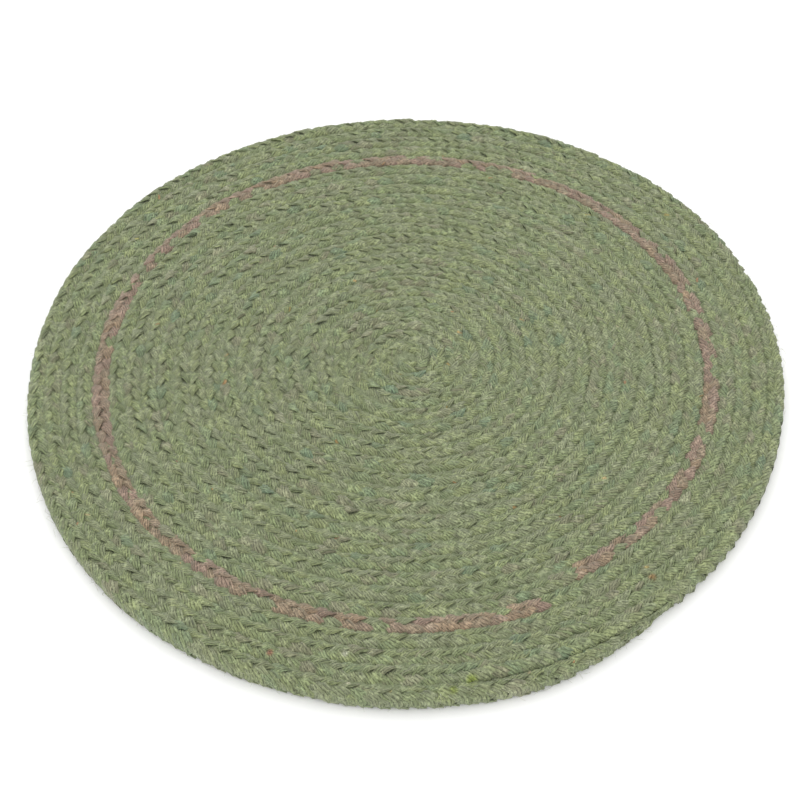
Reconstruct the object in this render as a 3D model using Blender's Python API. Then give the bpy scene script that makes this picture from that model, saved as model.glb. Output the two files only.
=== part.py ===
"""Round braided placemat: one plaited cord, wound in a flat spiral and sewn edge to edge.

The mat is one solid. Its upper side has a rounded ridge for every turn of the cord, its rim is the
outer side of the last turn, and its underside is flat. Metres, +Z up; the origin is the middle of
the underside.
"""

import math

import bmesh
import bpy

# The cord and its coil
COIL_PITCH = 0.0064  # from one turn of the cord to the next
TURNS = 24.2  # turns from the middle to the sewn-down end
THICKNESS = 0.0074  # table to the top of a ridge
GROOVE_DEPTH = 0.0015  # of the groove between two turns
STEPS_PER_TURN = 60

# The outer end of the cord
END_ANGLE = math.radians(-50.0)  # where the end is tucked in, from +X
TAPER_ANGLE = math.radians(26.0)  # the end narrows over this much of the last turn
RELEASE_ANGLE = math.radians(18.0)  # past the end, the groove opens into the free rim

# The rim is the free outer side of the last turn. Below its widest line come two more lines, each
# at a share of the thickness, and further in than the line above by a share of the pitch.
RIM_HEIGHT_SHARE = 0.55
RIM_SECTION = (
    {"height_share": 0.18, "inset_share": 0.05},
    {"height_share": 0.0, "inset_share": 0.19},
)

# The hand-sewn outline isn't a true circle, and the mat isn't of quite even thickness
OUTLINE_WAVES = (
    {"waves": 2, "height": 0.0010, "peak_deg": 70.0},
    {"waves": 3, "height": 0.0006, "peak_deg": 22.0},
    {"waves": 4, "height": 0.0004, "peak_deg": 43.0},
)
THICKNESS_WAVES = (
    {"waves": 3, "height": 0.00018, "peak_deg": 140.0},
    {"waves": 5, "height": 0.00012, "peak_deg": 15.0},
)
COIL_CENTRE = (0.0013, 0.0022)  # the coil's middle, from the middle of the outline

WELD_DISTANCE = 0.00002
GREEN = (0.205, 0.232, 0.122, 1.0)
ROUGHNESS = 0.92

TOTAL_ANGLE = TURNS * math.tau
OUTER_RADIUS = TURNS * COIL_PITCH


def clear_scene():
    """Removes what the new file starts with."""
    for item in list(bpy.data.objects):
        bpy.data.objects.remove(item, do_unlink=True)


def smooth(share):
    """An S-shaped ramp from 0 to 1."""
    share = min(max(share, 0.0), 1.0)
    return share * share * (3.0 - 2.0 * share)


def waves(table, direction):
    """The sum of a table's waves round the mat."""
    total = 0.0
    for row in table:
        total += row["height"] * math.cos(row["waves"] * (direction - math.radians(row["peak_deg"])))
    return total


def line_radius(along):
    """The radius of the line along the cord's outer side, at an angle wound from the middle."""
    if along <= 0.0:
        return 0.0
    from_end = TOTAL_ANGLE - along
    radius = COIL_PITCH * along / math.tau
    if from_end < TAPER_ANGLE:
        radius -= COIL_PITCH * smooth(1.0 - from_end / TAPER_ANGLE)
    return radius


def place(along, radius, height):
    """A point on the mat, with the uneven outline and thickness worked in."""
    direction = END_ANGLE + along - TOTAL_ANGLE
    reach = radius / OUTER_RADIUS
    radius += reach * reach * waves(OUTLINE_WAVES, direction)
    height *= 1.0 + reach * waves(THICKNESS_WAVES, direction) / THICKNESS
    x = COIL_CENTRE[0] + radius * math.cos(direction)
    y = COIL_CENTRE[1] + radius * math.sin(direction)
    return x, y, height


def outer_line_height(along):
    """The height of the outer line: a groove between turns, or the widest line of the free rim."""
    groove = THICKNESS - GROOVE_DEPTH
    past_end = along - (TOTAL_ANGLE - math.tau)
    if past_end < 0.0:
        return groove
    free = smooth(past_end / RELEASE_ANGLE) * smooth((TOTAL_ANGLE - along) / TAPER_ANGLE)
    return groove + free * (RIM_HEIGHT_SHARE * THICKNESS - groove)


def cord_point(along, across):
    """A point on the cord's upper side; across is 0 at the inner line, 0.5 on the ridge, 1 outside."""
    inner = line_radius(along - math.tau)
    outer = line_radius(along)
    if across < 0.25:
        return place(along, inner, outer_line_height(along - math.tau))
    if across > 0.75:
        return place(along, outer, outer_line_height(along))
    fullness = min(1.0, (outer - inner) / COIL_PITCH)
    ridge = THICKNESS - GROOVE_DEPTH * (1.0 - fullness)
    return place(along, (inner + outer) / 2.0, ridge)


def wind_cord(mesh):
    """Lays a long grid strip along the cord and welds each turn to the next."""
    steps = round(TURNS * STEPS_PER_TURN)
    bmesh.ops.create_grid(mesh, x_segments=steps, y_segments=2, size=0.5)
    for vertex in mesh.verts:
        along = round((vertex.co.x + 0.5) * steps) * TOTAL_ANGLE / steps
        vertex.co = cord_point(along, vertex.co.y + 0.5)
    bmesh.ops.remove_doubles(mesh, verts=mesh.verts, dist=WELD_DISTANCE)


def add_rim(mesh):
    """Draws the open outer edge down to the table and closes the flat underside."""
    loop = [edge for edge in mesh.edges if edge.is_boundary]
    for row in RIM_SECTION:
        grown = bmesh.ops.extrude_edge_only(mesh, edges=loop)["geom"]
        loop = [item for item in grown if isinstance(item, bmesh.types.BMEdge)]
        lower = [item for item in grown if isinstance(item, bmesh.types.BMVert)]
        for vertex in lower:
            set_rim_point(vertex, row["height_share"], row["inset_share"])
    bmesh.ops.edgeloop_fill(mesh, edges=loop)


def set_rim_point(vertex, height_share, inset_share):
    """Moves a copied rim point to its height, and inwards from the line above."""
    x = vertex.co.x - COIL_CENTRE[0]
    y = vertex.co.y - COIL_CENTRE[1]
    radius = math.hypot(x, y)
    scale = (radius - inset_share * COIL_PITCH) / radius
    vertex.co = (COIL_CENTRE[0] + x * scale, COIL_CENTRE[1] + y * scale, height_share * THICKNESS)


def yarn_material():
    """Matt green cotton yarn."""
    material = bpy.data.materials.new("green_braid")
    material.use_nodes = True
    shader = material.node_tree.nodes["Principled BSDF"]
    shader.inputs["Base Color"].default_value = GREEN
    shader.inputs["Roughness"].default_value = ROUGHNESS
    shader.inputs["Metallic"].default_value = 0.0
    return material


def build_mat(collection):
    """The coiled and sewn cord, as one closed solid."""
    mesh = bmesh.new()
    wind_cord(mesh)
    add_rim(mesh)
    bmesh.ops.recalc_face_normals(mesh, faces=mesh.faces)
    data = bpy.data.meshes.new("braided_mat")
    mesh.to_mesh(data)
    mesh.free()
    data.shade_smooth()
    data.set_sharp_from_angle(angle=math.radians(50.0))
    data.materials.append(yarn_material())
    mat = bpy.data.objects.new("braided_mat", data)
    collection.objects.link(mat)
    return mat


def main():
    """Builds the placemat."""
    clear_scene()
    collection = bpy.data.collections.new("braided_placemat")
    bpy.context.scene.collection.children.link(collection)
    build_mat(collection)


main()
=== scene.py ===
"""Finish of the round braided placemat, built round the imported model.

The mat is one long cord, plaited from three strands of cotton yarn, wound in a flat spiral and sewn
edge to edge. Every strand is built pass by pass: a pass comes up through the middle of the cord, goes
over one of its edges and dives back into the middle underneath. The yarns of a strand are ridges of
its mesh, and the materials follow them. Metres, +Z up; the origin is the middle of the underside.
"""

import logging
import math
from collections.abc import Sequence
from dataclasses import dataclass
from enum import Enum

import bmesh
import bpy
import numpy as np
from mathutils import Matrix, Vector


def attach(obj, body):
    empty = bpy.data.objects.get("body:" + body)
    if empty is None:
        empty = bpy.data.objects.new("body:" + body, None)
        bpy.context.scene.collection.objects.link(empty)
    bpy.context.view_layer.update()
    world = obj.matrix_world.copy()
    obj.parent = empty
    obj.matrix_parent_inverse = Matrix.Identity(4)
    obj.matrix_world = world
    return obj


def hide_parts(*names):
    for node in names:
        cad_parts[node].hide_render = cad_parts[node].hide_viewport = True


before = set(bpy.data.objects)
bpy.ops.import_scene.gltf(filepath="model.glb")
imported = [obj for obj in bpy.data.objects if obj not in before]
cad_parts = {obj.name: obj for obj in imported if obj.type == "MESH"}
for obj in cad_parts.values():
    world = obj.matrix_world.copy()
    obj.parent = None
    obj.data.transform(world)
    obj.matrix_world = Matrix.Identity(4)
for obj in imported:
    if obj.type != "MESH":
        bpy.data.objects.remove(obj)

LOG = logging.getLogger("placemat")
BODY = "root"
CAD_MAT = "braided_mat"
TURN = math.tau

Colour = tuple[float, float, float]
Tones = tuple[tuple[float, Colour], ...]
Socket = bpy.types.NodeSocket
Outputs = bpy.types.bpy_prop_collection
Source = Socket | float | Colour


# Meshes and pieces


def add_piece(name: str, mesh: bpy.types.Mesh) -> bpy.types.Object:
    """Adds a mesh to the scene as a piece that rides on the mat."""
    piece = bpy.data.objects.new(name, mesh)
    bpy.context.scene.collection.objects.link(piece)
    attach(piece, BODY)
    return piece


def make_piece(
    name: str, points: np.ndarray, quads: np.ndarray, triangles: np.ndarray
) -> bpy.types.Object:
    """Makes a smooth mesh piece that rides on the mat.

    Args:
        name: The piece's name.
        points: One row of x, y, z for each vertex.
        quads: One row of four vertex numbers for each four-sided face.
        triangles: One row of three vertex numbers for each triangle.

    Returns:
        The new object, in the scene's collection.
    """
    corners = np.concatenate([quads.ravel(), triangles.ravel()]).astype(np.int32)
    sides = np.repeat([4, 3], [len(quads), len(triangles)]).astype(np.int32)
    starts = np.concatenate([[0], np.cumsum(sides)[:-1]]).astype(np.int32)
    mesh = bpy.data.meshes.new(name)
    mesh.vertices.add(len(points))
    mesh.vertices.foreach_set("co", points.astype(np.float32).ravel())
    mesh.loops.add(len(corners))
    mesh.loops.foreach_set("vertex_index", corners)
    mesh.polygons.add(len(sides))
    mesh.polygons.foreach_set("loop_start", starts)
    mesh.update(calc_edges=True)
    mesh.validate()
    mesh.shade_smooth()
    return add_piece(name, mesh)


def store(piece: bpy.types.Object, name: str, values: np.ndarray) -> None:
    """Stores one number or one vector for each vertex of a piece, for its material to read.

    Args:
        piece: The piece.
        name: The attribute's name.
        values: One number, or one row of three, for each vertex.
    """
    vectors = values.ndim == 2
    kind = "FLOAT_VECTOR" if vectors else "FLOAT"
    attribute = piece.data.attributes.new(name, kind, "POINT")
    attribute.data.foreach_set("vector" if vectors else "value", values.astype(np.float32).ravel())


def unit(vectors: np.ndarray) -> np.ndarray:
    """Scales the last axis of an array of vectors to length 1."""
    return vectors / np.linalg.norm(vectors, axis=-1, keepdims=True)


def smooth(share: np.ndarray | float) -> np.ndarray:
    """An S-shaped ramp from 0 to 1."""
    held = np.clip(share, 0.0, 1.0)
    return held * held * (3.0 - 2.0 * held)


# The coil


@dataclass(frozen=True)
class Wave:
    """One wave of the hand-sewn unevenness round the mat."""

    waves: int
    height: float
    peak_deg: float

    def at(self, direction: np.ndarray) -> np.ndarray:
        """The wave's height in a direction from the coil's middle."""
        return self.height * np.cos(self.waves * (direction - math.radians(self.peak_deg)))


@dataclass(frozen=True)
class Pull:
    """A stretch where a line of the coil was sewn further out than the true spiral."""

    first_deg: float
    last_deg: float
    ease_deg: float
    amount: float

    def at(self, from_end: np.ndarray) -> np.ndarray:
        """How far out the line lies, at angles wound back from the cord's end."""
        degrees = np.degrees(from_end)
        first_end = smooth((self.first_deg - degrees) / self.ease_deg)
        last_end = smooth((degrees - self.last_deg) / self.ease_deg)
        return self.amount * first_end * last_end


@dataclass(frozen=True)
class Coil:
    """The flat spiral that the cord is wound in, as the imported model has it."""

    pitch: float = 0.0064
    turns: float = 24.2
    thickness: float = 0.0074
    end_angle: float = math.radians(-50.0)
    taper_angle: float = math.radians(26.0)
    centre: tuple[float, float] = (0.0013, 0.0022)

    # Where the plait starts, wound from the middle, and stops, wound back from the cord's end
    cord_start: float = 0.5 * TURN
    cord_stop: float = math.radians(4.0)

    # The open groove before the cord's end, wound back from where the rim starts
    crease_deg: tuple[float, float] = (34.0, 0.0)
    crease_ease_deg: float = 3.0

    # The hand-sewn unevenness
    outline_waves: tuple[Wave, ...] = (
        Wave(2, 0.0010, 70.0),
        Wave(3, 0.0006, 22.0),
        Wave(4, 0.0004, 43.0),
    )
    thickness_waves: tuple[Wave, ...] = (Wave(3, 0.00018, 140.0), Wave(5, 0.00012, 15.0))
    pulls: tuple[Pull, ...] = (Pull(64.0, 14.0, 22.0, 0.0008), Pull(417.0, 370.0, 16.0, 0.0014))

    @property
    def total_angle(self) -> float:
        """The angle wound from the middle to the cord's end."""
        return self.turns * TURN

    @property
    def outer_radius(self) -> float:
        """The radius of the last turn's outer line."""
        return self.turns * self.pitch

    def direction(self, along: np.ndarray) -> np.ndarray:
        """The direction from the coil's middle at an angle wound from the middle."""
        return self.end_angle + along - self.total_angle

    def line_radius(self, along: np.ndarray) -> np.ndarray:
        """The radius of the line along the cord's outer side.

        Args:
            along: Angles wound from the middle.

        Returns:
            The radii, drawn in over the cord's tapered end.
        """
        from_end = self.total_angle - along
        radius = self.pitch * np.maximum(along, 0.0) / TURN
        pulled = sum(pull.at(from_end) for pull in self.pulls)
        return radius - self.pitch * smooth(1.0 - from_end / self.taper_angle) + pulled

    def middle_radius(self, along: np.ndarray) -> np.ndarray:
        """The radius of the cord's middle line."""
        return (self.line_radius(along - TURN) + self.line_radius(along)) / 2.0

    def fullness(self, along: np.ndarray) -> np.ndarray:
        """The cord's width as a share of the pitch."""
        return (self.line_radius(along) - self.line_radius(along - TURN)) / self.pitch

    def open_side(self, line: np.ndarray) -> np.ndarray:
        """How far a place on the line between two turns is a plain side and not grown together.

        Args:
            line: Angles wound at the line. The line of the last turn is the mat's rim.

        Returns:
            0 where the two turns bite into each other, 1 at the rim and along the crease.
        """
        first, last = (self.total_angle - TURN - math.radians(angle) for angle in self.crease_deg)
        ease = math.radians(self.crease_ease_deg)
        crease = smooth((line - first) / ease) * smooth((last - line) / ease)
        rim = smooth((line - self.total_angle + TURN) / self.taper_angle)
        return np.maximum(crease, rim)

    def outward(self, along: np.ndarray) -> np.ndarray:
        """The level unit vector that points away from the coil's middle."""
        direction = self.direction(along)
        return np.stack([np.cos(direction), np.sin(direction), np.zeros_like(direction)], axis=-1)

    def place(self, along: np.ndarray, radius: np.ndarray, height: np.ndarray) -> np.ndarray:
        """Puts points on the mat, with the uneven outline and thickness worked in.

        Args:
            along: Angles wound from the middle.
            radius: Distances from the coil's middle.
            height: Heights over the table.

        Returns:
            The points, x, y and z on the last axis.
        """
        direction = self.direction(along)
        reach = radius / self.outer_radius
        swell = sum(wave.at(direction) for wave in self.outline_waves)
        lift = sum(wave.at(direction) for wave in self.thickness_waves)
        grown = radius + reach * reach * swell
        x = self.centre[0] + grown * np.cos(direction)
        y = self.centre[1] + grown * np.sin(direction)
        z = height * (1.0 + reach * lift / self.thickness)
        return np.stack([x, y, z], axis=-1)


class CordLine:
    """The cord's middle line, looked up by the length of cord from its inner end."""

    SAMPLES_PER_TURN = 720

    def __init__(self, coil: Coil) -> None:
        """Measures the line, from the cord's start to just before its tucked-in end."""
        first_angle, last_angle = coil.cord_start, coil.total_angle - coil.cord_stop
        count = round((last_angle - first_angle) / TURN * self.SAMPLES_PER_TURN)
        self.angles = np.linspace(first_angle, last_angle, count)
        points = coil.place(self.angles, coil.middle_radius(self.angles), np.zeros(count))
        steps = np.linalg.norm(np.diff(points, axis=0), axis=1)
        self.lengths = np.concatenate([[0.0], np.cumsum(steps)])

    @property
    def length(self) -> float:
        """The whole length of cord in metres."""
        return float(self.lengths[-1])

    def angle_at(self, length: np.ndarray) -> np.ndarray:
        """The angle wound at a length of cord from the inner end."""
        return np.interp(length, self.lengths, self.angles)

    def length_at(self, angle: float) -> float:
        """The length of cord from the inner end at an angle wound."""
        return float(np.interp(angle, self.angles, self.lengths))


# Node trees

# Fixed numbers that keep the materials' random draws apart
YARN_DRAW = 0.5
PASS_DRAW = (0.5, 3.5)
FLECK_DRAW = 0.25


class Wiring:
    """Adds nodes to one node tree and joins their sockets."""

    def __init__(self, tree: bpy.types.NodeTree) -> None:
        """Takes the node tree to work in."""
        self.tree = tree

    def add(self, kind: str, *values: Source, **settings: object) -> bpy.types.Node:
        """Adds a node.

        Args:
            kind: Blender's name for the kind of node.
            *values: What feeds its first inputs, in order.
            **settings: Properties of the node.

        Returns:
            The new node.
        """
        node = self.tree.nodes.new(kind)
        for name, value in settings.items():
            setattr(node, name, value)
        for socket, value in zip(node.inputs, values):
            self.feed(socket, value)
        return node

    def feed(self, socket: Socket, source: Source) -> None:
        """Joins an input to another node's output, or sets it to a plain value."""
        if isinstance(source, Socket):
            self.tree.links.new(source, socket)
        else:
            socket.default_value = source

    def maths(self, operation: str, *values: Source) -> Socket:
        """Adds a Math node.

        Args:
            operation: Blender's name for the operation.
            *values: Its inputs in order.

        Returns:
            The result.
        """
        return self.add("ShaderNodeMath", *values, operation=operation).outputs[0]

    def ramp(
        self, value: Source, low: float, high: float, to: Sequence[float] = (0.0, 1.0)
    ) -> Socket:
        """Maps a range of numbers onto another, held at its ends.

        Args:
            value: The number to map.
            low: The number that gives the first result.
            high: The number that gives the second result.
            to: The two results.

        Returns:
            The mapped number.
        """
        return self.add("ShaderNodeMapRange", value, low, high, *to).outputs["Result"]

    def mix(self, share: Source, first: Source, second: Source, blend: str = "MIX") -> Socket:
        """Mixes two colours.

        Args:
            share: How much of the second shows.
            first: The colour underneath.
            second: The colour on top.
            blend: Blender's name for the blend.

        Returns:
            The mixed colour.
        """
        node = self.add("ShaderNodeMix", data_type="RGBA", blend_type=blend)
        for name, source in (("Factor_Float", share), ("A_Color", first), ("B_Color", second)):
            socket = next(item for item in node.inputs if item.identifier == name)
            self.feed(socket, (*source, 1.0) if isinstance(source, tuple) else source)
        return next(item for item in node.outputs if item.identifier == "Result_Color")

    def vector(self, x: Source, y: Source, z: Source) -> Socket:
        """Joins three numbers in a vector."""
        return self.add("ShaderNodeCombineXYZ", x, y, z).outputs[0]

    def noise(
        self, place: Source, scale: Source, detail: float = 2.0, roughness: float = 0.5
    ) -> Socket:
        """Soft noise between 0 and 1 at a vector.

        Args:
            place: The vector.
            scale: Repeats a unit.
            detail: Finer layers added.
            roughness: How strongly they show.

        Returns:
            The noise's value.
        """
        node = self.add("ShaderNodeTexNoise", place)
        self.feed(node.inputs["Scale"], scale)
        self.feed(node.inputs["Detail"], detail)
        self.feed(node.inputs["Roughness"], roughness)
        return node.outputs["Fac"]

    def chance(self, place: Source) -> Socket:
        """An even random number between 0 and 1 for each vector."""
        return self.add("ShaderNodeTexWhiteNoise", place, noise_dimensions="3D").outputs["Value"]

    def parts(self, place: Source) -> tuple[Socket, ...]:
        """Splits a vector into its three numbers."""
        return tuple(self.add("ShaderNodeSeparateXYZ", place).outputs)

    def distance(self, place: Source, other: Colour) -> Socket:
        """How far a vector lies from a fixed point."""
        return self.add("ShaderNodeVectorMath", place, other, operation="DISTANCE").outputs["Value"]

    def tones(self, value: Source, tones: Tones) -> Socket:
        """Picks a colour from a table of places between 0 and 1 and their colours."""
        node = self.add("ShaderNodeValToRGB", value)
        elements = node.color_ramp.elements
        while len(elements) < len(tones):
            elements.new(0.5)
        for element, (place, colour) in zip(elements, tones):
            element.position = place
            element.color = (*colour, 1.0)
        return node.outputs["Color"]


class Effect:
    """A shader node group that several materials share."""

    def __init__(self, name: str) -> None:
        """Starts an empty group."""
        self.group = bpy.data.node_groups.new(name, "ShaderNodeTree")
        self.wiring = Wiring(self.group)
        self.entry = self.wiring.add("NodeGroupInput")
        self.exit = self.wiring.add("NodeGroupOutput")

    def takes(self, name: str) -> Socket:
        """Adds a named input and returns its socket inside the group."""
        self.group.interface.new_socket(name=name, in_out="INPUT", socket_type="NodeSocketFloat")
        return self.entry.outputs[name]

    def gives(self, name: str, source: Socket) -> None:
        """Adds a named output and joins it to its source."""
        self.group.interface.new_socket(name=name, in_out="OUTPUT", socket_type="NodeSocketFloat")
        self.wiring.feed(self.exit.inputs[name], source)

    def use(self, wiring: Wiring, **values: Source) -> Outputs:
        """Places the group in a material.

        Args:
            wiring: The material's wiring.
            **values: What feeds its inputs, by name.

        Returns:
            The outputs of the group's node.
        """
        node = wiring.add("ShaderNodeGroup", node_tree=self.group)
        for name, value in values.items():
            wiring.feed(node.inputs[name], value)
        return node.outputs


def yarn_lines(roundness: float = 2.2) -> Effect:
    """Reads where a point lies on its strand: along it, across its yarns, and in which pass.

    Args:
        roundness: How squarely a yarn's crest falls off to the groove beside it.

    Returns:
        The group, with Along, Across, Pass, Crest (1 on top of a yarn, 0 between two) and Chance (a
        random number for each yarn of each pass).
    """
    effect = Effect("yarn_lines")
    w = effect.wiring
    place = w.add("ShaderNodeAttribute", attribute_type="GEOMETRY", attribute_name="yarn")
    along, across, number = w.parts(place.outputs["Vector"])
    off_crest = w.maths("MULTIPLY_ADD", w.maths("FRACT", across), 2.0, -1.0)
    fall = w.maths("POWER", w.maths("ABSOLUTE", off_crest), roundness)
    effect.gives("Along", along)
    effect.gives("Across", across)
    effect.gives("Pass", number)
    effect.gives("Crest", w.maths("SUBTRACT", 1.0, fall))
    effect.gives("Chance", w.chance(w.vector(w.maths("FLOOR", across), number, YARN_DRAW)))
    return effect


@dataclass(frozen=True)
class Marks:
    """Fine marks that run along the yarns, new for each pass."""

    per_metre: float
    per_yarn: float
    detail: float
    roughness: float = 0.6

    def draw(self, w: Wiring, along: Source, across: Source, number: Source) -> Socket:
        """Draws the marks as noise.

        Args:
            w: The wiring to draw them in.
            along: The place along the strand in metres.
            across: The place across it in yarns.
            number: The pass's number.

        Returns:
            The noise's value.
        """
        far = w.maths("MULTIPLY", along, self.per_metre)
        wide = w.maths("MULTIPLY", across, self.per_yarn)
        return w.noise(w.vector(far, wide, number), 1.0, self.detail, self.roughness)


@dataclass(frozen=True)
class SpunFibre:
    """The fibres of a spun yarn: fine streaks along it and the slanted lines of its twist."""

    # The clumps are added to the streaks with a factor and a step down
    streaks: Marks = Marks(700.0, 4.0, 3.0)
    clumps: Marks = Marks(1900.0, 3.0, 2.0)
    clump_share: tuple[float, float] = (0.5, -0.25)
    streak_range: tuple[float, float] = (0.28, 0.75)

    # How far the twist moves on from one pass to the next, in turns
    twist_step: float = 0.37

    # What each adds to the yarn's height
    crest_height: float = 0.55
    twist_height: float = 0.3
    streak_height: float = 0.25

    def make(self) -> Effect:
        """Builds the group.

        Returns:
            The group, with Streak, Clump, Twist and Height, all between 0 and 1.
        """
        effect = Effect("spun_fibre")
        w = effect.wiring
        names = ("Along", "Across", "Pass", "Crest", "Twist Pitch")
        along, across, number, crest, pitch = (effect.takes(name) for name in names)
        streaks = self.streaks.draw(w, along, across, number)
        clumps = self.clumps.draw(w, along, across, number)
        turns = w.maths("ADD", w.maths("DIVIDE", along, pitch), across)
        turns = w.maths("ADD", turns, w.maths("MULTIPLY", number, self.twist_step))
        twist = w.maths("SINE", w.maths("MULTIPLY", turns, TURN))
        twist = w.maths("MULTIPLY_ADD", twist, 0.5, 0.5)
        mixed = w.maths("ADD", streaks, w.maths("MULTIPLY_ADD", clumps, *self.clump_share))
        streak = w.ramp(mixed, *self.streak_range)
        height = w.maths("MULTIPLY", crest, self.crest_height)
        height = w.maths("MULTIPLY_ADD", twist, self.twist_height, height)
        height = w.maths("MULTIPLY_ADD", streak, self.streak_height, height)
        effect.gives("Streak", streak)
        effect.gives("Clump", clumps)
        effect.gives("Twist", twist)
        effect.gives("Height", height)
        return effect


@dataclass(frozen=True)
class StrayFibres:
    """Fine broken lines where single fibres lie across the yarns."""

    line_width: tuple[float, float] = (0.015, 0.075)
    line_detail: float = 1.5
    break_range: tuple[float, float] = (0.42, 0.58)
    break_detail: float = 1.0
    break_scale: float = 0.8

    def make(self) -> Effect:
        """Builds the group.

        Returns:
            The group, with Fibre, 1 on a fibre and 0 beside it. Scale is in repeats a metre.
        """
        effect = Effect("stray_fibres")
        w = effect.wiring
        scale = effect.takes("Scale")
        place = w.add("ShaderNodeTexCoord").outputs["Object"]
        bends = w.noise(place, scale, self.line_detail)
        off_line = w.maths("ABSOLUTE", w.maths("SUBTRACT", bends, 0.5))
        line = w.ramp(off_line, *self.line_width, (1.0, 0.0))
        breaks = w.noise(place, w.maths("MULTIPLY", scale, self.break_scale), self.break_detail)
        effect.gives("Fibre", w.maths("MULTIPLY", line, w.ramp(breaks, *self.break_range)))
        return effect


@dataclass(frozen=True)
class YarnDye:
    """The colours of a strand's yarns, from the least to the most random number."""

    name: str
    tones: Tones


GREENS = YarnDye(
    "green_yarn",
    (
        (0.00, (0.150, 0.212, 0.138)),
        (0.20, (0.206, 0.254, 0.140)),
        (0.38, (0.246, 0.280, 0.134)),
        (0.54, (0.240, 0.262, 0.160)),
        (0.70, (0.206, 0.248, 0.121)),
        (0.84, (0.229, 0.226, 0.145)),
        (1.00, (0.318, 0.340, 0.210)),
    ),
)
RUSTS = YarnDye(
    "rust_yarn",
    (
        (0.00, (0.205, 0.150, 0.108)),
        (0.30, (0.318, 0.226, 0.178)),
        (0.55, (0.272, 0.218, 0.150)),
        (0.80, (0.320, 0.230, 0.150)),
        (1.00, (0.345, 0.275, 0.205)),
    ),
)
FLECKS: Tones = (
    (0.0, (0.420, 0.500, 0.060)),
    (0.3, (0.420, 0.090, 0.050)),
    (0.6, (0.480, 0.240, 0.060)),
    (1.0, (0.520, 0.500, 0.400)),
)


@dataclass(frozen=True)
class Fleck:
    """One stray tuft of another colour, caught in a yarn."""

    x: float
    y: float
    size: float
    colour: Colour


TUFTS = (
    Fleck(0.0206, -0.1462, 0.0024, (0.240, 0.300, 0.060)),
    Fleck(0.0143, -0.1503, 0.0020, (0.230, 0.280, 0.070)),
    Fleck(-0.0485, -0.1348, 0.0017, (0.225, 0.095, 0.060)),
    Fleck(0.0863, -0.1052, 0.0019, (0.290, 0.170, 0.065)),
    Fleck(-0.0227, -0.1356, 0.0016, (0.420, 0.430, 0.320)),
)


def new_material(name: str) -> tuple[bpy.types.Material, Wiring, bpy.types.Node]:
    """Starts a material, and gives it with its wiring and its Principled shader."""
    material = bpy.data.materials.new(name)
    material.use_nodes = True
    shader = material.node_tree.nodes["Principled BSDF"]
    return material, Wiring(material.node_tree), shader


def add_relief(w: Wiring, shader: bpy.types.Node, height: Source, depth: float) -> None:
    """Gives a material fine relief.

    Args:
        w: The material's wiring.
        shader: Its Principled shader.
        height: The height over the surface, from 0 to about 1.
        depth: How far 1 stands out, in metres.
    """
    bump = w.add("ShaderNodeBump")
    w.feed(bump.inputs["Distance"], depth)
    w.feed(bump.inputs["Height"], height)
    w.feed(shader.inputs["Normal"], bump.outputs["Normal"])


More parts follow.
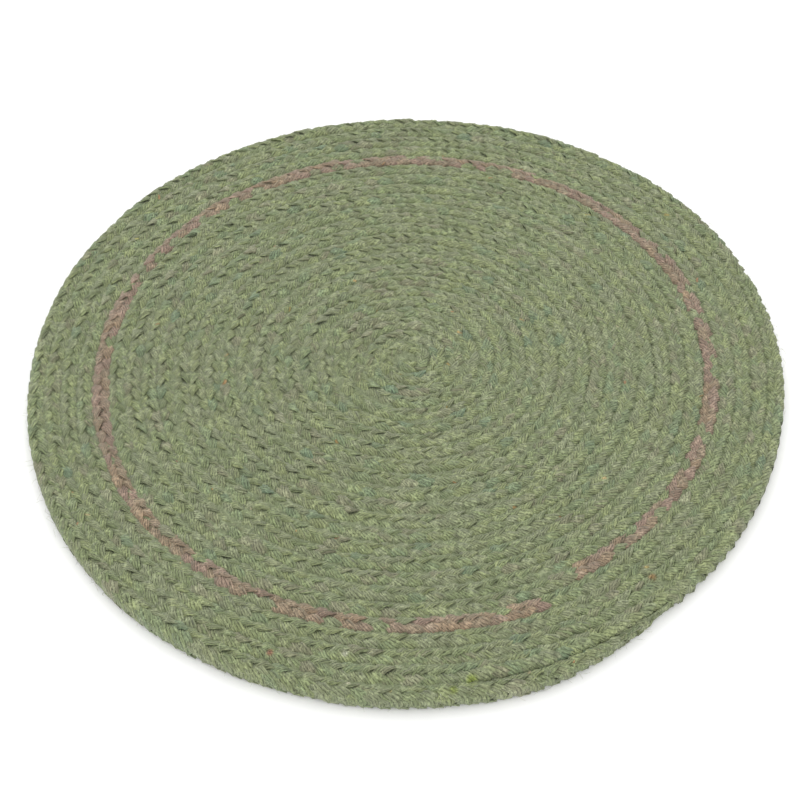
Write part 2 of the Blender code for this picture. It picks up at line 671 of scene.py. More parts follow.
@dataclass(frozen=True)
class YarnFinish:
    """Matt cotton yarn, dyed in mixed tones, with stray flecks of other colours and painted shade
    between its yarns and plies.
    """

    dye: YarnDye
    lines: Effect
    fibre: Effect
    stray: Effect

    # A yarn's tone: what its own chance, its pass's chance and a slow change add to it
    own_tone: float = 0.13
    pass_tone: float = 0.57
    slow_tone: tuple[float, float] = (1.0, -0.35)
    slow_per_metre: float = 26.0
    strand_step: float = 7.3

    # The flecks, and the plain core of a tuft as a share of its size
    fleck_per_metre: float = 600.0
    fleck_share: float = 0.0012
    fleck_strength: float = 0.5
    tuft_strength: float = 0.85
    tuft_core: float = 0.35

    # How fine the twist and the stray fibres are, and how far the marks lighten or darken the yarn
    twist_pitch: float = 0.0014
    stray_scale: float = 420.0
    streak_change: float = 0.42
    stray_change: float = 0.52
    # Painted shade in the troughs of the ply twist: how far it darkens the yarn, and the width of its
    # band
    painted_ply_shade: float = 0.22
    painted_ply_width: float = 0.35

    # Painted shade in the grooves between yarns: the brightness left there, their width, and how clumps
    # fill them
    painted_groove_light: float = 0.44
    painted_groove_width: float = 0.75
    painted_groove_fill: tuple[float, float] = (2.1, -1.0)

    # The surface
    roughness: tuple[float, float] = (0.97, 0.84)
    stray_height: float = 0.25
    relief: float = 0.00030

    def choice(self, w: Wiring, lines: Outputs) -> Socket:
        """Picks a tone for each yarn, from its own chance, its pass and a slow change along it.

        Args:
            w: The material's wiring.
            lines: What the yarn_lines group gives.

        Returns:
            The place in the dye's table.
        """
        strand = w.maths("FLOOR", w.maths("DIVIDE", lines["Pass"], Strands.PASS_STRIDE))
        along = w.maths("MULTIPLY", lines["Along"], self.slow_per_metre)
        slow = w.noise(w.vector(along, w.maths("MULTIPLY", strand, self.strand_step), 0.0), 1.0)
        together = w.maths("MULTIPLY", w.chance(w.vector(lines["Pass"], *PASS_DRAW)), self.pass_tone)
        share = w.maths("MULTIPLY_ADD", lines["Chance"], self.own_tone, together)
        return w.maths("ADD", share, w.maths("MULTIPLY_ADD", slow, *self.slow_tone))

    def flecked(self, w: Wiring, colour: Source, lines: Outputs) -> Socket:
        """Adds flecks of other colours, scattered at random and in a few given places.

        Args:
            w: The material's wiring.
            colour: The yarn's colour.
            lines: What the yarn_lines group gives.

        Returns:
            The colour with the flecks.
        """
        spot = w.maths("FLOOR", w.maths("MULTIPLY", lines["Along"], self.fleck_per_metre))
        yarn = w.maths("FLOOR", lines["Across"])
        chance = w.chance(w.vector(spot, yarn, w.maths("ADD", lines["Pass"], FLECK_DRAW)))
        fleck = w.maths("LESS_THAN", chance, self.fleck_share)
        found = w.tones(w.maths("DIVIDE", chance, self.fleck_share), FLECKS)
        colour = w.mix(w.maths("MULTIPLY", fleck, self.fleck_strength), colour, found)
        x, y, _ = w.parts(w.add("ShaderNodeTexCoord").outputs["Object"])
        seen = w.vector(x, y, 0.0)
        for tuft in TUFTS:
            away = w.distance(seen, (tuft.x, tuft.y, 0.0))
            held = w.ramp(away, tuft.size * self.tuft_core, tuft.size, (self.tuft_strength, 0.0))
            colour = w.mix(held, colour, tuft.colour)
        return colour

    def brightness(self, w: Wiring, lines: Outputs, fibre: Outputs, stray: Source) -> Socket:
        """Works out how light or dark the marks make the yarn, with painted shade between yarns and
        plies.

        Args:
            w: The material's wiring.
            lines: What the yarn_lines group gives.
            fibre: What the spun_fibre group gives.
            stray: 1 on a stray fibre, 0 beside it.

        Returns:
            The brightness, 1 where nothing changes it.
        """
        ends = 1.0 - self.streak_change, 1.0 + self.streak_change
        light = w.ramp(fibre["Streak"], 0.0, 1.0, ends)
        # Painted shade in the grooves between yarns, broken where fibre clumps fill them
        filled = w.maths("MULTIPLY_ADD", fibre["Clump"], *self.painted_groove_fill)
        crest = w.maths("ADD", lines["Crest"], filled)
        groove = w.ramp(crest, 0.0, self.painted_groove_width, (self.painted_groove_light, 1.0))
        # Painted shade in the troughs of the ply twist
        ply_trough_shade = w.ramp(fibre["Twist"], 0.0, self.painted_ply_width, (1.0 - self.painted_ply_shade, 1.0))
        value = w.maths("MULTIPLY", w.maths("MULTIPLY", light, groove), ply_trough_shade)
        return w.maths("MULTIPLY_ADD", stray, self.stray_change, value)

    def make(self) -> bpy.types.Material:
        """Builds the material.

        Returns:
            The material, with its Principled shader fed by the shared groups.
        """
        material, w, shader = new_material(self.dye.name)
        lines = self.lines.use(w)
        feeds = {name: lines[name] for name in ("Along", "Across", "Pass", "Crest")}
        fibre = self.fibre.use(w, **feeds, **{"Twist Pitch": self.twist_pitch})
        stray = self.stray.use(w, Scale=self.stray_scale)["Fibre"]
        colour = self.flecked(w, w.tones(self.choice(w, lines), self.dye.tones), lines)
        value = self.brightness(w, lines, fibre, stray)
        # The marks multiply the colour, painted groove and ply shade among them
        colour = w.mix(1.0, colour, w.vector(value, value, value), "MULTIPLY")
        w.feed(shader.inputs["Base Color"], colour)
        w.feed(shader.inputs["Roughness"], w.ramp(fibre["Streak"], 0.0, 1.0, self.roughness))
        height = w.maths("MULTIPLY_ADD", stray, self.stray_height, fibre["Height"])
        add_relief(w, shader, height, self.relief)
        shader.inputs["Sheen Weight"].default_value = 0.25
        shader.inputs["Sheen Roughness"].default_value = 0.55
        shader.inputs["Sheen Tint"].default_value = (0.80, 0.86, 0.70, 1.0)
        shader.inputs["Specular IOR Level"].default_value = 0.25
        return material


@dataclass(frozen=True)
class InnerFinish:
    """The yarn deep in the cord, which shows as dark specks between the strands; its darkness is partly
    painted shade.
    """

    stray: Effect
    name: str = "inner_yarn_and_painted_shade"
    # Darker than the strands' yarn: partly the inner yarn's own tone, partly painted shade in the gaps
    # between strands
    tones: Tones = (
        (0.30, (0.120, 0.142, 0.078)),
        (0.70, (0.215, 0.246, 0.138)),
    )
    mottle_scale: float = 900.0
    mottle_detail: float = 3.0
    mottle_roughness: float = 0.6
    fibre_tone: Colour = (0.330, 0.370, 0.220)
    fibre_share: float = 0.7
    fibre_height: float = 0.4
    stray_scale: float = 420.0
    roughness: tuple[float, float] = (0.98, 0.9)
    relief: float = 0.0004

    def make(self) -> bpy.types.Material:
        """Builds the material: mottled dark yarn, its darkness partly painted shade, with a fibrous
        relief.
        """
        material, w, shader = new_material(self.name)
        place = w.add("ShaderNodeTexCoord").outputs["Object"]
        mottle = w.noise(place, self.mottle_scale, self.mottle_detail, self.mottle_roughness)
        stray = self.stray.use(w, Scale=self.stray_scale)["Fibre"]
        share = w.maths("MULTIPLY", stray, self.fibre_share)
        w.feed(shader.inputs["Base Color"], w.mix(share, w.tones(mottle, self.tones), self.fibre_tone))
        low, high = self.tones[0][0], self.tones[-1][0]
        w.feed(shader.inputs["Roughness"], w.ramp(mottle, low, high, self.roughness))
        height = w.maths("MULTIPLY_ADD", stray, self.fibre_height, mottle)
        add_relief(w, shader, height, self.relief)
        return material


@dataclass(frozen=True)
class FibreFinish:
    """Single cotton fibres, pale green with a few darker and warmer ones."""

    name: str = "loose_fibre"
    tones: Tones = (
        (0.0, (0.240, 0.270, 0.160)),
        (0.5, (0.380, 0.410, 0.270)),
        (0.9, (0.520, 0.540, 0.400)),
        (1.0, (0.400, 0.300, 0.180)),
    )

    def make(self) -> bpy.types.Material:
        """Builds the material from each fibre's own tone."""
        material, w, shader = new_material(self.name)
        tone = w.add("ShaderNodeAttribute", attribute_type="GEOMETRY", attribute_name="tone")
        w.feed(shader.inputs["Base Color"], w.tones(tone.outputs["Fac"], self.tones))
        shader.inputs["Roughness"].default_value = 0.8
        shader.inputs["Sheen Weight"].default_value = 0.3
        shader.inputs["Specular IOR Level"].default_value = 0.3
        return material


# The cord's pieces


class Span(Enum):
    """The two stretches that each strand's mesh is cut into."""

    INNER = "inner"
    OUTER = "outer"


@dataclass(frozen=True)
class Stretch:
    """How finely one stretch of the strands is built, and which share of the passes it holds."""

    shares: tuple[float, float]
    rings: tuple[float, ...]


STRETCHES = {
    Span.INNER: Stretch((0.0, 0.5), (0.0, 0.14, 0.28, 0.42, 0.56, 0.76, 1.0)),
    Span.OUTER: Stretch((0.5, 1.0), (0.0, 0.11, 0.22, 0.33, 0.43, 0.52, 0.63, 0.80, 1.0)),
}


@dataclass(frozen=True)
class Drift:
    """A slow uneven change along the cord, as hands pull it tighter and looser."""

    wavelengths: tuple[float, float, float]
    offset: float

    def at(self, length: np.ndarray) -> np.ndarray:
        """The change at lengths of cord, mostly between -1 and 1 and never past 1.5."""
        waves = enumerate(self.wavelengths, start=1)
        return sum(np.sin(TURN * (length / wave + self.offset * order)) for order, wave in waves) / 2.0


@dataclass(frozen=True)
class Frames:
    """Places along a strand, and what it is like there.

    Forward, normal and sideways are the strand's own directions, and outward points level away from
    the coil's middle. Across is the distance from the cord's middle, and length the length of cord.
    Plain says how far that edge of the cord is a plain side, and size is the cord's fullness.
    """

    point: np.ndarray
    forward: np.ndarray
    normal: np.ndarray
    sideways: np.ndarray
    outward: np.ndarray
    across: np.ndarray
    plain: np.ndarray
    size: np.ndarray
    length: np.ndarray


@dataclass
class Strands:
    """The three plaited strands, each a chain of passes over the cord's edges."""

    PASS_STRIDE = 10000.0
    RUST_DRAW = 7

    coil: Coil
    line: CordLine
    seed: int = 24
    count: int = 3

    # The path of a strand's middle line. It reaches sway to each side and lift up and down from the
    # cord's middle. The flatness numbers keep it longer at its height, over the cord's middle and
    # over its edges, and early_rise brings the crest nearer the middle.
    period: float = 0.0175
    sway: float = 0.00245
    squareness: float = 0.4
    lift: float = 0.00232
    flatness: float = 2.4
    edge_flatness: float = 2.2
    edge_run: float = 0.0003
    early_rise: float = 0.66
    end_height: float = 0.80
    end_width: float = 0.14
    most_width: float = 1.25

    # A pass: its tips as shares of it, how late its face tips over the cord's edge, the step that
    # finds its direction, and its lowest height
    tips: tuple[float, float] = (-0.13, 1.13)
    face_turn: float = 0.5
    slope_step: float = 0.02
    lowest: float = 0.0001

    # Its section, widened over the cord's edges, and thinner where the cord's end runs out
    half_width: float = 0.00236
    half_height: float = 0.00138
    inner_share: float = 0.6
    crown: float = 0.30
    edge_widening: float = 0.60
    rim_widening: float = 1.05
    widening_power: int = 3
    thin_width: float = 0.6
    thin_depth: float = 0.35

    # Its yarns
    yarns: int = 6
    yarn_depth: float = 0.165
    yarn_evenness: float = 0.6

    # How the sewing presses the cord's sides: from how far out, and what share then stays
    press_start: float = 0.00305
    rim_press_start: float = 0.00318
    press_share: float = 0.60
    rim_press_share: float = 0.15

    # Small differences from pass to pass, and from ring to ring within a pass
    width_range: tuple[float, float] = (0.88, 1.14)
    depth_range: tuple[float, float] = (0.90, 1.10)
    loose_sides: float = 0.00020
    loose_height: float = 0.00014
    lean: float = 0.12
    lean_pivot: float = 0.25
    pass_shift: float = 0.020
    ring_shift: float = 0.012
    pass_groove: tuple[float, float] = (0.7, 1.3)
    ring_groove: tuple[float, float] = (0.5, 1.4)
    pass_unevenness: float = 0.025
    ring_unevenness: float = 0.042

    # The rust-coloured turn
    rust_turns: tuple[float, float] = (19.17, 20.15)
    rust_share: float = 0.86

    # Slow changes along the cord
    pull: Drift = Drift((0.031, 0.053, 0.117), 0.13)
    wander: Drift = Drift((0.047, 0.083, 0.151), 0.37)
    roll: Drift = Drift((0.061, 0.097, 0.173), 0.53)
    swell: Drift = Drift((0.043, 0.089, 0.163), 0.71)
    pull_depth: float = 0.0005
    wander_depth: float = 0.00034
    roll_depth: float = 0.00030
    swell_share: float = 0.035

    def height_share(self, phase: np.ndarray) -> np.ndarray:
        """The strand's height over the cord's middle, from -1 to 1, flattened where it shows."""
        middle = np.cos(phase) ** 2
        flatness = self.edge_flatness + (self.flatness - self.edge_flatness) * middle
        return np.tanh(flatness * np.sin(2.0 * phase + self.early_rise * middle)) / np.tanh(flatness)

    def middle(self, strand: int, phase: np.ndarray) -> tuple[np.ndarray, ...]:
        """The strand's middle line.

        Args:
            strand: The strand's number.
            phase: How far the strand is through its swings, 2 pi for a whole one.

        Returns:
            The points, the angles wound there, the distances from the cord's middle, the cord's
            fullness and the length of cord.
        """
        length = (phase / TURN - strand / self.count) * self.period - self.edge_run * np.sin(2.0 * phase)
        length = length + self.pull_depth * self.pull.at(length)
        along = self.line.angle_at(np.clip(length, 0.0, self.line.length))
        full = np.clip(self.coil.fullness(along), self.end_width, self.most_width)
        tall = self.end_height + (1.0 - self.end_height) * np.minimum(full, 1.0)
        tall = tall * (1.0 + self.swell_share * self.swell.at(length))
        square = np.tanh(self.squareness * np.sin(phase)) / math.tanh(self.squareness)
        across = full * (self.sway * square + self.wander_depth * self.wander.at(length))
        rolled = self.roll_depth * self.roll.at(length) * np.sin(phase)
        height = tall * (self.coil.thickness / 2.0 + self.lift * self.height_share(phase)) + rolled
        point = self.coil.place(along, self.coil.middle_radius(along) + across, height)
        return point, along, across, full, length

    def frames(self, strand: int, numbers: np.ndarray, shares: np.ndarray) -> Frames:
        """Finds places on a strand and its directions there.

        Args:
            strand: The strand's number.
            numbers: Passes' numbers. An even pass goes over the outer edge.
            shares: How far through the pass, 0 to 1. The two arrays are broadcast together.

        Returns:
            The places and directions.
        """
        phase = np.pi * (numbers + shares)
        before = self.middle(strand, phase - self.slope_step)[0]
        after = self.middle(strand, phase + self.slope_step)[0]
        point, along, across, full, length = self.middle(strand, phase)
        forward = unit(after - before)
        side = np.where(numbers % 2 == 0, 1.0, -1.0)[..., None]
        turn = np.cos(np.pi * shares)
        slope = (np.pi / 2.0) * np.sign(turn) * np.abs(turn) ** self.face_turn
        up = np.array([0.0, 0.0, 1.0])
        outward = self.coil.outward(along)
        hint = outward * side * np.cos(slope)[..., None] + up * np.sin(slope)[..., None]
        normal = unit(hint - np.sum(hint * forward, axis=-1, keepdims=True) * forward)
        sideways = np.cross(forward, normal)
        plain = self.coil.open_side(np.where(across > 0.0, along, along - TURN))
        return Frames(point, forward, normal, sideways, outward, across, plain, full, length)

    def press(self, points: np.ndarray, found: Frames) -> np.ndarray:
        """Squeezes the cord's sides flatter, as the sewing does.

        Args:
            points: Points of rings round the strand's places.
            found: Those places.

        Returns:
            The moved points.
        """
        outward = found.outward[..., None, :]
        start = self.press_start + (self.rim_press_start - self.press_start) * found.plain
        start = (start * found.size)[..., None]
        share = self.press_share + (self.rim_press_share - self.press_share) * found.plain
        offset = points - found.point[..., None, :]
        across = found.across[..., None] + np.sum(offset * outward, axis=-1)
        beyond = np.sign(across) * np.maximum(np.abs(across) - start, 0.0)
        return points - outward * (beyond * (1.0 - share)[..., None])[..., None]

    def section(self, rng: np.random.Generator, passes: int, rings: int) -> tuple[np.ndarray, ...]:
        """The outlines of a strand: ridged by its yarns outside, plain inside, and never quite even.

        Args:
            rng: The source of the small differences.
            passes: How many passes there are.
            rings: How many outlines each pass has.

        Returns:
            Sideways and outward shares for each pass, ring and point, and each point's place across
            the yarns.
        """
        points = 2 * self.yarns + 1
        whole, each = (passes, 1, points), (passes, rings, points)
        place = np.tile(1.0 - 2.0 * np.arange(points) / (points - 1), (passes, 1, 1))
        place = place + rng.normal(0.0, self.pass_shift, whole) + rng.normal(0.0, self.ring_shift, each)
        place = np.clip(place, -1.0, 1.0)
        bent = self.yarn_evenness * np.arcsin(place) + (1.0 - self.yarn_evenness) * np.pi / 2.0 * place
        angle = np.pi / 2.0 - bent
        deep = self.yarn_depth * rng.uniform(*self.pass_groove, whole)
        deep = deep * rng.uniform(*self.ring_groove, each)
        high = 1.0 + self.pass_unevenness * rng.normal(size=whole)
        high = high + self.ring_unevenness * rng.normal(size=each)
        ridge = np.where(np.arange(points) % 2 == 0, 1.0 - deep, high)
        sideways = np.cos(angle) * ridge
        outwards = np.abs(np.sin(angle)) ** self.crown * ridge
        inside = np.zeros((passes, rings, 1))
        sideways = np.concatenate([sideways, inside], axis=2)
        outwards = np.concatenate([outwards, inside - self.inner_share], axis=2)
        across = np.concatenate([np.arange(points) / 2.0, [self.yarns + 0.5]])
        return sideways, outwards, across

    def tubes(
        self, strand: int, numbers: np.ndarray, rings: tuple[float, ...]
    ) -> tuple[np.ndarray, ...]:
        """Builds the points of some passes of a strand.

        Args:
            strand: The strand's number.
            numbers: The passes' numbers.
            rings: Where the rings stand, as shares of a pass.

        Returns:
            The ring points and tip points of each pass, the lengths of cord and the places across.
        """
        rng = np.random.default_rng([self.seed, strand, int(numbers[0])])
        passes = len(numbers)
        shares = np.array([self.tips[0], *rings, self.tips[1]])
        found = self.frames(strand, numbers[:, None], shares[None, :])
        widening = self.edge_widening + (self.rim_widening - self.edge_widening) * found.plain
        swell = 1.0 + widening * np.sin(np.pi * np.clip(shares, 0.0, 1.0)) ** self.widening_power
        width = self.half_width * swell * (self.thin_width + (1.0 - self.thin_width) * found.size)
        width = width * rng.uniform(*self.width_range, (passes, 1))
        depth = self.half_height * (self.thin_depth + (1.0 - self.thin_depth) * found.size)
        depth = depth * rng.uniform(*self.depth_range, (passes, 1))
        point = found.point + found.normal * rng.normal(0.0, self.loose_height, (passes, 1, 1))
        point = point + found.outward * rng.normal(0.0, self.loose_sides, (passes, 1, 1))
        point = point + found.forward * rng.normal(0.0, self.loose_sides, (passes, 1, 1))
        lean = self.lean * rng.normal(size=(passes, 1, 1))
        sideways, outwards, across = self.section(rng, passes, len(shares))
        offset_side = found.sideways[:, :, None, :] * (width[:, :, None] * sideways)[..., None]
        offset_out = found.normal[:, :, None, :] * (depth[:, :, None] * outwards)[..., None]
        slant = found.sideways * (lean * self.half_width * (shares[None, :, None] - self.lean_pivot))
        grid = self.press((point + slant)[:, :, None, :] + offset_side + offset_out, found)
        return grid[:, 1:-1], point[:, [0, -1]], found.length, across

    def faces(self, passes: int, rings: int, sides: int) -> tuple[np.ndarray, np.ndarray]:
        """The faces of closed tubes that end in points.

        Args:
            passes: How many tubes there are.
            rings: The rings of a tube.
            sides: The points of a ring.

        Returns:
            The quads between rings, and the triangles at the tips.
        """
        ring, side = np.meshgrid(np.arange(rings - 1), np.arange(sides), indexing="ij")
        here, on = ring * sides + side, ring * sides + (side + 1) % sides
        quads = np.stack([here, on, on + sides, here + sides], axis=-1).reshape(-1, 4)
        side = np.arange(sides)
        after = (side + 1) % sides
        last_ring = (rings - 1) * sides
        first = np.stack([np.full(sides, rings * sides), after, side], axis=-1)
        last = np.stack([first[:, 0] + 1, last_ring + side, last_ring + after], axis=-1)
        starts = np.arange(passes)[:, None, None] * (rings * sides + 2)
        return (quads + starts).reshape(-1, 4), (np.concatenate([first, last]) + starts).reshape(-1, 3)

    def numbers(self, strand: int, shares: tuple[float, float]) -> np.ndarray:
        """The numbers of a strand's passes in a share of the cord, clear of the cord's two ends."""
        pass_length = self.period / 2.0
        offset = strand * 2.0 / self.count
        slack = 2.0 * self.pull_depth / pass_length
        first = math.ceil(offset - self.tips[0] + slack)
        last = math.floor(self.line.length / pass_length + offset - self.tips[1] - slack)
        low, high = (first + round(share * (last - first + 1)) for share in shares)
        return np.arange(low, high)

    def build_piece(
        self, strand: int, span: Span, green: bpy.types.Material, rust: bpy.types.Material
    ) -> bpy.types.Object:
        """Builds and dresses one stretch of one strand.

        Args:
            strand: The strand's number.
            span: Which stretch.
            green: The yarn of nearly all of the mat.
            rust: The yarn of the coloured turn.

        Returns:
            The piece.
        """
        stretch = STRETCHES[span]
        numbers = self.numbers(strand, stretch.shares)
        rings, tips, length, across = self.tubes(strand, numbers, stretch.rings)
        passes, ring_count, sides, _ = rings.shape
        points = np.concatenate([rings.reshape(passes, -1, 3), tips], axis=1).reshape(-1, 3)
        points[:, 2] = np.maximum(points[:, 2], self.lowest)
        quads, triangles = self.faces(passes, ring_count, sides)
        piece = make_piece(f"strand_{strand + 1}_{span.value}", points, quads, triangles)
        along = np.repeat(length[:, 1:-1, None], sides, axis=2).reshape(passes, -1)
        along = np.concatenate([along, length[:, [0, -1]]], axis=1)
        place = np.tile(across, (passes, ring_count, 1)).reshape(passes, -1)
        place = np.concatenate([place, np.full((passes, 2), self.yarns / 2.0)], axis=1)
        number = np.repeat(strand * self.PASS_STRIDE + numbers[:, None], along.shape[1], axis=1)
        store(piece, "yarn", np.stack([along, place, number], axis=-1).reshape(-1, 3))
        piece.data.materials.append(green)
        piece.data.materials.append(rust)
        rusty = self.rusty(strand, numbers, length.mean(axis=1)).astype(np.int32)
        index = [np.repeat(rusty, len(faces) // passes) for faces in (quads, triangles)]
        piece.data.polygons.foreach_set("material_index", np.concatenate(index))
        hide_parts(CAD_MAT)
        return piece

    def rusty(self, strand: int, numbers: np.ndarray, middle: np.ndarray) -> np.ndarray:
        """Which passes belong to the rust-coloured turn.

        Args:
            strand: The strand's number.
            numbers: Its passes' numbers.
            middle: The length of cord at each pass's middle.

        Returns:
            True for each pass in rust yarn.
        """
        low, high = (self.line.length_at(turns * TURN) for turns in self.rust_turns)
        rng = np.random.default_rng([self.seed, strand, self.RUST_DRAW])
        chosen = rng.random(len(numbers)) < self.rust_share
        return (middle > low) & (middle < high) & chosen


@dataclass
class SewnBody:
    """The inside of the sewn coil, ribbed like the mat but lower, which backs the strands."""

    coil: Coil
    steps_per_turn: int = 60
    ridge: float = 0.0069
    groove: float = 0.0064
    crease_depth: float = 0.0012
    underside: float = 0.0012
    inset: float = 0.00045
    weld: float = 0.00002
    sharp_deg: float = 50.0
    sort_line: tuple[float, float, float] = (1.0, 0.31, 0.07)

    def line_point(self, along: float, across: float) -> np.ndarray:
        """Finds a point on the body's upper side.

        Args:
            along: The angle wound from the middle.
            across: 0 at the cord's inner line, 0.5 on its ridge and 1 at its outer line.

        Returns:
            The point.
        """
        wound = np.maximum([along - TURN, along], 0.0)
        inner, outer = self.coil.line_radius(wound).tolist()
        row = round(2.0 * across)
        radius = (inner, (inner + outer) / 2.0, outer)[row]
        line = along if row == 2 else along - TURN
        groove = self.groove - self.crease_depth * float(self.coil.open_side(np.float64(line)))
        height = self.ridge if row == 1 else groove
        return self.coil.place(np.float64(along), np.float64(radius), np.float64(height))

    def build(self, material: bpy.types.Material) -> bpy.types.Object:
        """Builds and dresses the body.

        Args:
            material: Its finish.

        Returns:
            The piece.
        """
        steps = round(self.coil.turns * self.steps_per_turn)
        mesh = bmesh.new()
        bmesh.ops.create_grid(mesh, x_segments=steps, y_segments=2, size=0.5)
        for vertex in mesh.verts:
            along = round((vertex.co.x + 0.5) * steps) * self.coil.total_angle / steps
            vertex.co = self.line_point(along, vertex.co.y + 0.5)
        bmesh.ops.remove_doubles(mesh, verts=mesh.verts, dist=self.weld)
        loop = [edge for edge in mesh.edges if edge.is_boundary]
        for vertex in {vertex for edge in loop for vertex in edge.verts}:
            self.draw_in(vertex, self.inset, self.groove - self.crease_depth)
        grown = bmesh.ops.extrude_edge_only(mesh, edges=loop)["geom"]
        for vertex in (item for item in grown if isinstance(item, bmesh.types.BMVert)):
            self.draw_in(vertex, 0.0, self.underside)
        loop = [item for item in grown if isinstance(item, bmesh.types.BMEdge)]
        bmesh.ops.edgeloop_fill(mesh, edges=loop)
        bmesh.ops.recalc_face_normals(mesh, faces=mesh.faces)
        # Blender adds the rim's faces in an order that changes from run to run
        mesh.faces.sort(key=lambda face: face.calc_center_median().dot(self.sort_line))
        data = bpy.data.meshes.new("sewn_body")
        mesh.to_mesh(data)
        mesh.free()
        data.shade_smooth()
        data.set_sharp_from_angle(angle=math.radians(self.sharp_deg))
        data.materials.append(material)
        piece = add_piece("sewn_body", data)
        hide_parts(CAD_MAT)
        return piece

    def draw_in(self, vertex: bmesh.types.BMVert, inset: float, height: float) -> None:
        """Moves a rim point towards the middle, to a height."""
        x, y = vertex.co.x - self.coil.centre[0], vertex.co.y - self.coil.centre[1]
        kept = 1.0 - inset / math.hypot(x, y)
        vertex.co = (self.coil.centre[0] + x * kept, self.coil.centre[1] + y * kept, height)


@dataclass
class LooseFibres:
    """Fine fibres that stand out of the yarn all over the mat, and more thickly at its rim.

    A fibre starts on a strand at a share of the way through a pass, sets off along and across the
    strand, rises from it and curls over.
    """

    strands: Strands
    seed: int = 11
    count: int = 4200
    length: tuple[float, float] = (0.0018, 0.0046)
    radius: float = 0.000055
    tip_share: float = 0.45
    rings: int = 4
    sides: int = 3
    lowest: float = 0.00015

    # How many fibres start at the rim, from which share of the passes on, and where in a pass
    rim_share: float = 0.3
    rim_start: float = 0.93
    rim_starts: tuple[float, float] = (0.2, 0.62)
    starts: tuple[float, float] = (0.1, 0.45)

    # Where a fibre stands on its strand, how it sets off, and how it curls
    spread: float = 0.7
    root_height: float = 0.75
    ahead: float = 0.6
    aside: float = 0.8
    rise: tuple[float, float] = (0.10, 0.55)
    curl: float = 0.5
    droop: tuple[float, float] = (0.2, 0.6)
    bend: float = 0.8

    def build(self, material: bpy.types.Material) -> bpy.types.Object:
        """Builds and dresses the fibres.

        Args:
            material: Their finish.

        Returns:
            The piece.
        """
        rng = np.random.default_rng(self.seed)
        parts = [self.paths(rng, strand) for strand in range(self.strands.count)]
        paths = np.concatenate(parts)
        fibres = len(paths)
        forward = unit(np.gradient(paths, axis=1))
        side = unit(np.cross(forward, rng.normal(size=(fibres, 1, 3))))
        up = np.cross(forward, side)
        angle = TURN * np.arange(self.sides) / self.sides
        thin = self.radius * np.linspace(1.0, self.tip_share, self.rings + 2)[None, 1:-1, None, None]
        ring = side[:, 1:-1, None] * np.cos(angle)[:, None] + up[:, 1:-1, None] * np.sin(angle)[:, None]
        points = (paths[:, 1:-1, None] + thin * ring).reshape(fibres, -1, 3)
        points = np.concatenate([points, paths[:, [0, -1]]], axis=1).reshape(-1, 3)
        points[:, 2] = np.maximum(points[:, 2], self.lowest)
        quads, triangles = self.strands.faces(fibres, self.rings, self.sides)
        piece = make_piece("loose_fibres", points, quads, triangles)
        store(piece, "tone", np.repeat(rng.random(fibres), self.rings * self.sides + 2))
        piece.data.materials.append(material)
        return piece

    def paths(self, rng: np.random.Generator, strand: int) -> np.ndarray:
        """The curves of the fibres that grow from one strand.

        Args:
            rng: The source of their places and shapes.
            strand: The strand's number.

        Returns:
            The points of each fibre, root first.
        """
        amount = self.count // self.strands.count
        numbers = self.strands.numbers(strand, (0.0, 1.0))
        rim = rng.random(amount) < self.rim_share
        at_rim = rng.integers(int(len(numbers) * self.rim_start), len(numbers), amount)
        anywhere = (len(numbers) * rng.random(amount)).astype(int)
        number = numbers[np.where(rim, at_rim, anywhere)]
        share = np.where(rim, rng.uniform(*self.rim_starts, amount), rng.uniform(*self.starts, amount))
        found = self.strands.frames(strand, number, share)
        each = (amount, 1)
        aside = rng.uniform(-self.spread, self.spread, each) * self.strands.half_width
        root = found.point + found.sideways * aside
        root = root + found.normal * self.strands.half_height * self.root_height
        heading = found.forward * rng.normal(0.0, self.ahead, each)
        heading = heading + found.sideways * rng.normal(0.0, self.aside, each)
        heading = unit(heading) + found.normal * rng.uniform(*self.rise, each)
        curl = unit(rng.normal(size=(amount, 3))) * self.curl
        curl = curl - found.normal * rng.uniform(*self.droop, each)
        reach = rng.uniform(*self.length, (amount, 1, 1))
        along = np.linspace(0.0, 1.0, self.rings + 2)[None, :, None]
        return root[:, None] + reach * (along * heading[:, None] + along**2 * curl[:, None] * self.bend)


# The studio


@dataclass(frozen=True)
class Lamp:
    """One soft square light that looks at the mat."""

    name: str
    place: tuple[float, float, float]
    side: float
    watts: float


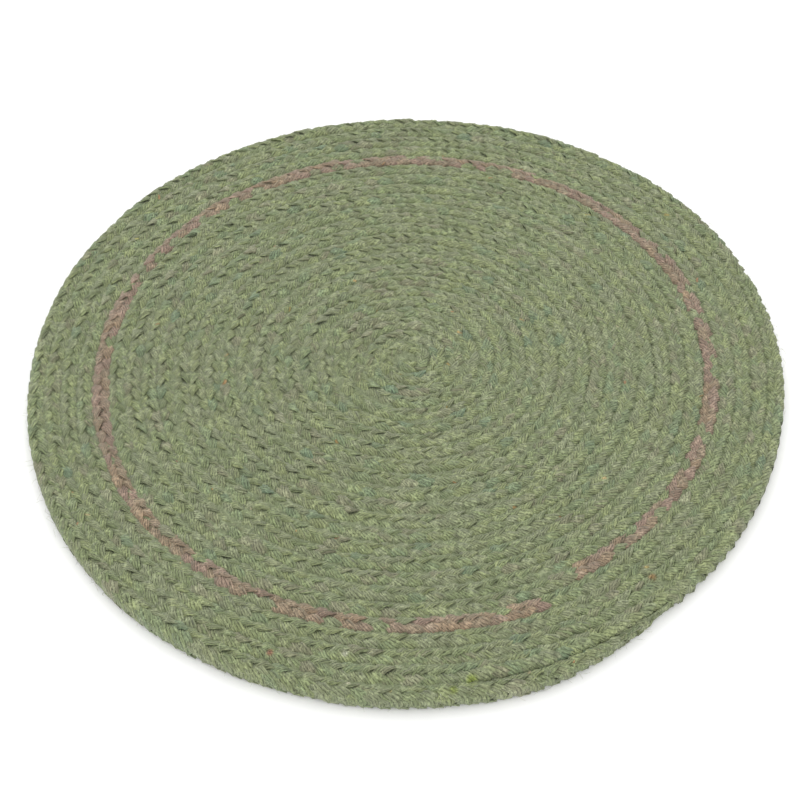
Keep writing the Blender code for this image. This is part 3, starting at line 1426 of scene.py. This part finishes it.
@dataclass
class Studio:
    """The pale floor, the soft light and the camera."""

    camera_place: tuple[float, float, float] = (-0.00267, -0.43183, 0.4783)
    camera_tilt_deg: float = 41.17
    camera_roll_deg: float = -0.719
    lens_mm: float = 72.0
    floor_size: float = 40.0
    floor_gap: float = 0.0001
    floor_colour: Colour = (0.94, 0.94, 0.94)
    air: float = 1.0
    lamps: tuple[Lamp, ...] = (
        Lamp("key_light", (-0.18, 0.60, 1.35), 1.6, 8.0),
        Lamp("fill_light", (0.10, -1.05, 1.1), 1.4, 4.5),
    )

    def build(self) -> None:
        """Builds the whole studio."""
        self.build_camera()
        self.build_floor()
        for lamp in self.lamps:
            self.build_lamp(lamp)
        world = bpy.data.worlds.new("soft_air")
        world.use_nodes = True
        background = world.node_tree.nodes["Background"]
        background.inputs["Color"].default_value = (1.0, 1.0, 1.0, 1.0)
        background.inputs["Strength"].default_value = self.air
        bpy.context.scene.world = world
        bpy.context.scene.view_settings.view_transform = "Standard"

    def build_camera(self) -> None:
        """Puts the camera where the photograph was taken from."""
        camera = bpy.data.cameras.new("camera")
        camera.lens = self.lens_mm
        holder = bpy.data.objects.new("camera", camera)
        tilt = Matrix.Rotation(math.radians(self.camera_tilt_deg), 4, "X")
        roll = Matrix.Rotation(math.radians(self.camera_roll_deg), 4, "Z")
        holder.matrix_world = Matrix.Translation(self.camera_place) @ tilt @ roll
        bpy.context.scene.collection.objects.link(holder)
        bpy.context.scene.camera = holder

    def build_floor(self) -> None:
        """Lays the pale floor just under the mat."""
        half = self.floor_size / 2.0
        mesh = bpy.data.meshes.new("floor")
        corners = [(-half, -half, 0.0), (half, -half, 0.0), (half, half, 0.0), (-half, half, 0.0)]
        mesh.from_pydata(corners, [], [(0, 1, 2, 3)])
        material, _, shader = new_material("pale_floor")
        shader.inputs["Base Color"].default_value = (*self.floor_colour, 1.0)
        shader.inputs["Roughness"].default_value = 0.9
        mesh.materials.append(material)
        floor = bpy.data.objects.new("floor", mesh)
        floor.location.z = -self.floor_gap
        bpy.context.scene.collection.objects.link(floor)

    def build_lamp(self, lamp: Lamp) -> None:
        """Hangs one light and turns it to the mat."""
        light = bpy.data.lights.new(lamp.name, "AREA")
        light.shape = "SQUARE"
        light.size = lamp.side
        light.energy = lamp.watts
        holder = bpy.data.objects.new(lamp.name, light)
        holder.location = lamp.place
        holder.rotation_euler = (-Vector(lamp.place)).to_track_quat("-Z", "Y").to_euler()
        bpy.context.scene.collection.objects.link(holder)


def main() -> None:
    """Builds the mat's pieces and the studio in order."""
    logging.basicConfig(level=logging.INFO, format="%(message)s")
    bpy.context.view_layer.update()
    Studio().build()
    coil = Coil()
    line = CordLine(coil)
    LOG.info("cord: %.2f m", line.length)
    lines, fibre, stray = yarn_lines(), SpunFibre().make(), StrayFibres().make()
    green, rust = (YarnFinish(dye, lines, fibre, stray).make() for dye in (GREENS, RUSTS))
    strands = Strands(coil, line)
    body = SewnBody(coil)
    # The body's finish is darker than the strands' yarn, partly as painted shade in the gaps between
    # them
    pieces = [body.build(InnerFinish(stray).make())]
    for strand in range(strands.count):
        for span in Span:
            pieces.append(strands.build_piece(strand, span, green, rust))
    pieces.append(LooseFibres(strands).build(FibreFinish().make()))
    for piece in pieces:
        faces = sum(polygon.loop_total - 2 for polygon in piece.data.polygons)
        LOG.info("%s: %d triangles", piece.name, faces)


if __name__ == "__main__":
    main()
